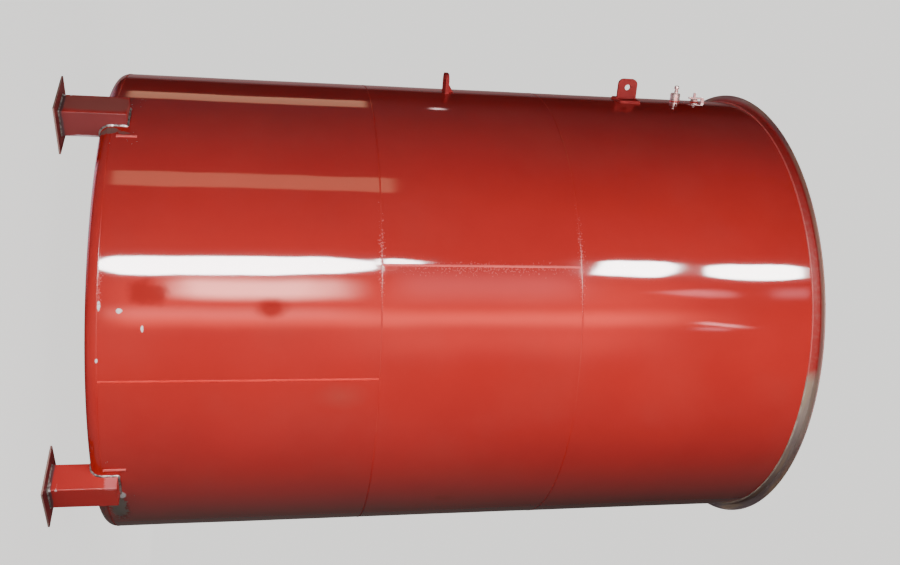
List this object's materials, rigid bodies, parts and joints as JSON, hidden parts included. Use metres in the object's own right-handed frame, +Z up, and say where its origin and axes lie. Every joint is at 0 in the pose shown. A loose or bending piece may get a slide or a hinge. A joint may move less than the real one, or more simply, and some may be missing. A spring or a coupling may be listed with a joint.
{
  "type": "vertical storage tank",
  "caption": "Upright welded steel storage tank on short box legs, with a dished bottom head, curb angle, low conical roof, lifting lugs and small side fittings.",
  "frame": {"origin": "on the floor under the tank's axis, level with the undersides of the foot plates", "axes": "+Z up along the tank's axis, from its legs to its roof; the four legs stand on the diagonals between X and Y"},
  "size_m": [2.6906, 2.6906, 4.096],
  "materials": {
    "red_paint": "glossy red enamel",
    "brown_steel": "bare weathered mill-scale steel",
    "bright_steel": "plain zinc-coated steel"
  },
  "bodies": {
    "root": {"lower_course_right_plate": "red_paint", "lower_course_left_plate": "red_paint", "middle_course_right_plate": "red_paint", "middle_course_left_plate": "red_paint", "upper_course_right_plate": "red_paint", "upper_course_left_plate": "red_paint", "bottom_head": "red_paint", "curb_angle_1": "brown_steel", "curb_angle_2": "brown_steel", "curb_angle_3": "brown_steel", "curb_angle_4": "brown_steel", "roof_sector_1": "red_paint", "roof_sector_2": "red_paint", "roof_sector_3": "red_paint", "roof_sector_4": "red_paint", "roof_crown_plate": "red_paint", "leg_1_box": "red_paint", "leg_1_cap": "brown_steel", "leg_1_foot_plate": "red_paint", "leg_2_box": "red_paint", "leg_2_cap": "brown_steel", "leg_2_foot_plate": "red_paint", "leg_3_box": "red_paint", "leg_3_cap": "brown_steel", "leg_3_foot_plate": "red_paint", "leg_4_box": "red_paint", "leg_4_cap": "brown_steel", "leg_4_foot_plate": "red_paint", "lifting_lug_1_pad": "red_paint", "lifting_lug_1_plate": "red_paint", "lifting_lug_2_pad": "red_paint", "lifting_lug_2_plate": "red_paint", "tailing_lug_1_plate": "red_paint", "tailing_lug_1_gusset": "red_paint", "tailing_lug_2_plate": "red_paint", "tailing_lug_2_gusset": "red_paint", "side_coupling": "bright_steel", "side_coupling_neck": "bright_steel", "side_valve_body": "bright_steel", "side_valve_lever": "bright_steel"}
  },
  "joints": []
}
